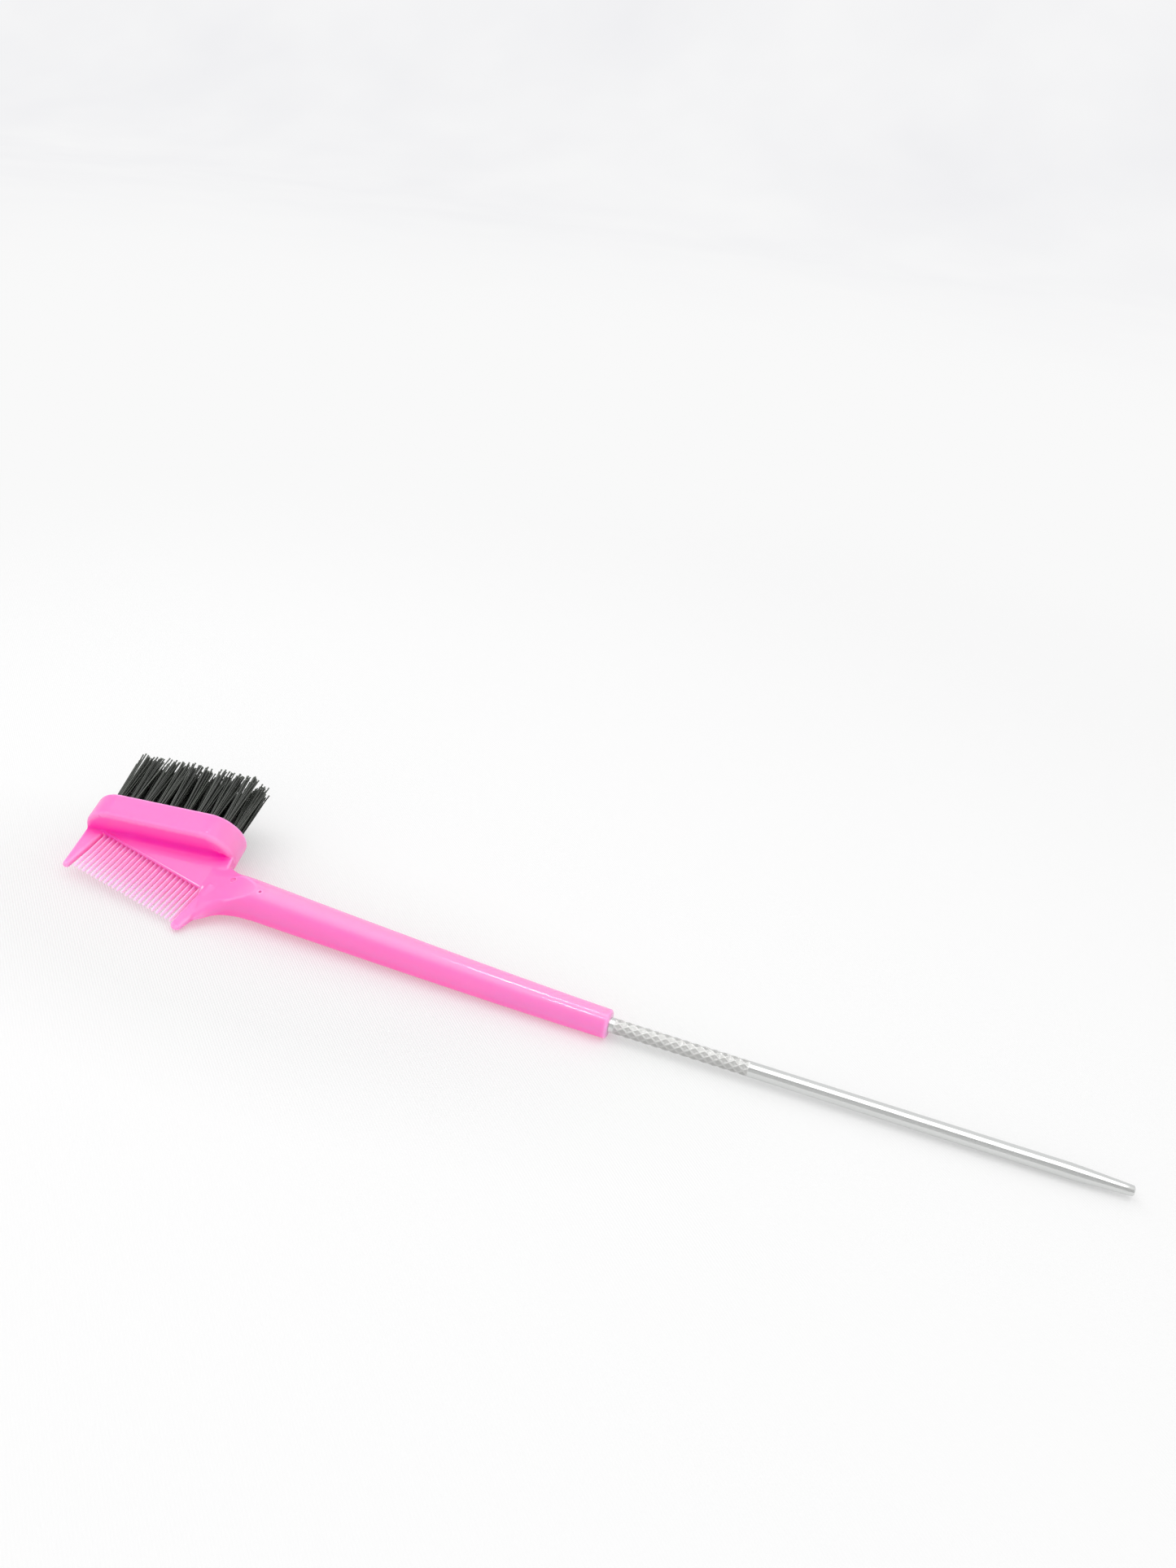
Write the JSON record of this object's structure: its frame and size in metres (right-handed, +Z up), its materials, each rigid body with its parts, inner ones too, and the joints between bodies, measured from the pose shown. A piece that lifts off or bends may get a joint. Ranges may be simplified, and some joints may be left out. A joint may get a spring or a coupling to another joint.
{
  "type": "tint brush",
  "caption": "Hair colour tint brush: a moulded plastic handle and head with a fine comb on one side and tufted bristles on the other, and a knurled steel rat-tail pin.",
  "frame": {"origin": "middle of the bounding box's base, on the table that the brush lies on", "axes": "+X along the brush towards the tip of the tail pin, +Z up from the table. The brush lies as it comes to rest, tipped about 18 degrees onto its guard tooth, the pad's edge and the pin's tip, so the bristles point along +Y and a little up"},
  "size_m": [0.2402, 0.0432, 0.0193],
  "materials": {
    "pink_plastic": "glossy, slightly translucent pink",
    "pin_steel": "bright polished steel, diamond knurled near the handle",
    "bristle_nylon": "black nylon filament",
    "anchor_brass": "plain stamped plate, hidden in the pad"
  },
  "bodies": {
    "root": {"moulded_body": "pink_plastic", "tail_pin": "pin_steel", "bristle_row_1": "bristle_nylon", "bristle_row_2": "bristle_nylon", "bristle_row_3": "bristle_nylon", "bristle_row_4": "bristle_nylon", "tuft_anchor_1_01": "anchor_brass", "tuft_anchor_1_02": "anchor_brass", "tuft_anchor_1_03": "anchor_brass", "tuft_anchor_1_04": "anchor_brass", "tuft_anchor_1_05": "anchor_brass", "tuft_anchor_1_06": "anchor_brass", "tuft_anchor_1_07": "anchor_brass", "tuft_anchor_1_08": "anchor_brass", "tuft_anchor_1_09": "anchor_brass", "tuft_anchor_2_01": "anchor_brass", "tuft_anchor_2_02": "anchor_brass", "tuft_anchor_2_03": "anchor_brass", "tuft_anchor_2_04": "anchor_brass", "tuft_anchor_2_05": "anchor_brass", "tuft_anchor_2_06": "anchor_brass", "tuft_anchor_2_07": "anchor_brass", "tuft_anchor_2_08": "anchor_brass", "tuft_anchor_2_09": "anchor_brass", "tuft_anchor_2_10": "anchor_brass", "tuft_anchor_3_01": "anchor_brass", "tuft_anchor_3_02": "anchor_brass", "tuft_anchor_3_03": "anchor_brass", "tuft_anchor_3_04": "anchor_brass", "tuft_anchor_3_05": "anchor_brass", "tuft_anchor_3_06": "anchor_brass", "tuft_anchor_3_07": "anchor_brass", "tuft_anchor_3_08": "anchor_brass", "tuft_anchor_3_09": "anchor_brass", "tuft_anchor_3_10": "anchor_brass", "tuft_anchor_4_01": "anchor_brass", "tuft_anchor_4_02": "anchor_brass", "tuft_anchor_4_03": "anchor_brass", "tuft_anchor_4_04": "anchor_brass", "tuft_anchor_4_05": "anchor_brass", "tuft_anchor_4_06": "anchor_brass", "tuft_anchor_4_07": "anchor_brass", "tuft_anchor_4_08": "anchor_brass", "tuft_anchor_4_09": "anchor_brass"}
  },
  "joints": []
}
